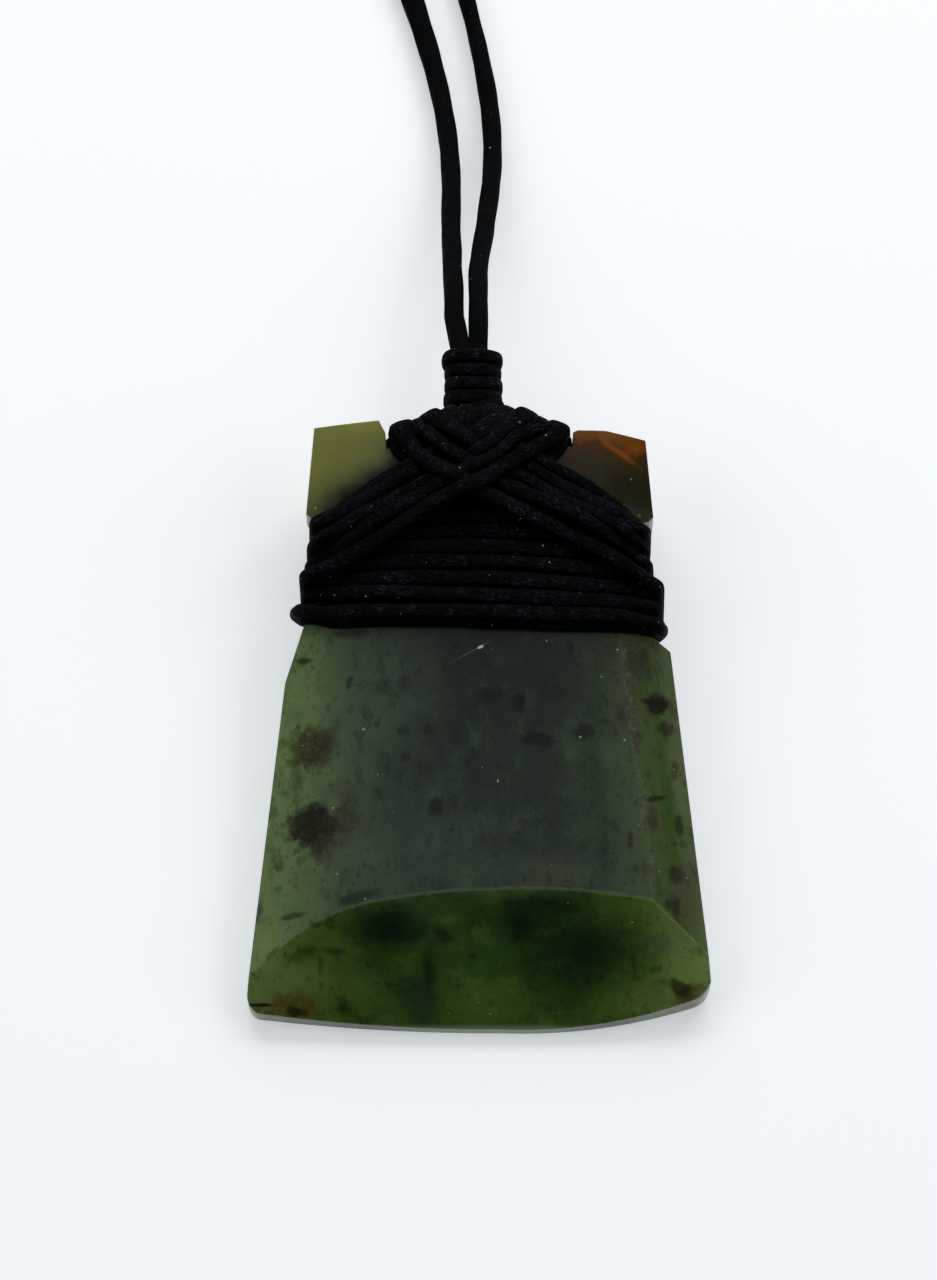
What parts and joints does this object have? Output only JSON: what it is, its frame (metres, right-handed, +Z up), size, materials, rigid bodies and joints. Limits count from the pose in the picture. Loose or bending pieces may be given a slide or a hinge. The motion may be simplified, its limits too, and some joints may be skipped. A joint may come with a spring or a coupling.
{
  "type": "toki adze pendant",
  "caption": "Small polished nephrite adze blade with a bevelled cutting edge, lashed with black waxed cord and hung on a whole loop of braided cord.",
  "frame": {"origin": "on the surface that it lies on, under the middle of the pendant without its necklace cord", "axes": "+Y from the cutting edge towards the butt and the necklace cord, +X to the right seen from above the face, +Z up from the surface"},
  "size_m": [0.1537, 0.2855, 0.0089],
  "materials": {
    "nephrite": "polished",
    "lashing_cord": "waxed",
    "braided_cord": "waxed braid"
  },
  "bodies": {
    "root": {"blade": "nephrite", "waist_wrap_1": "lashing_cord", "waist_wrap_2": "lashing_cord", "waist_wrap_3": "lashing_cord", "waist_wrap_4": "lashing_cord", "waist_wrap_5": "lashing_cord", "waist_wrap_6": "lashing_cord", "waist_wrap_7": "lashing_cord", "left_cross_strand_1": "lashing_cord", "left_cross_strand_2": "lashing_cord", "left_cross_strand_3": "lashing_cord", "left_cross_strand_4": "lashing_cord", "right_cross_strand_1": "lashing_cord", "right_cross_strand_2": "lashing_cord", "right_cross_strand_3": "lashing_cord", "right_cross_strand_4": "lashing_cord", "neck_turn_1": "lashing_cord", "neck_turn_2": "lashing_cord", "neck_turn_3": "lashing_cord", "neck_turn_4": "lashing_cord", "neck_turn_5": "lashing_cord", "neck_turn_6": "lashing_cord", "necklace_cord": "braided_cord"}
  },
  "joints": []
}
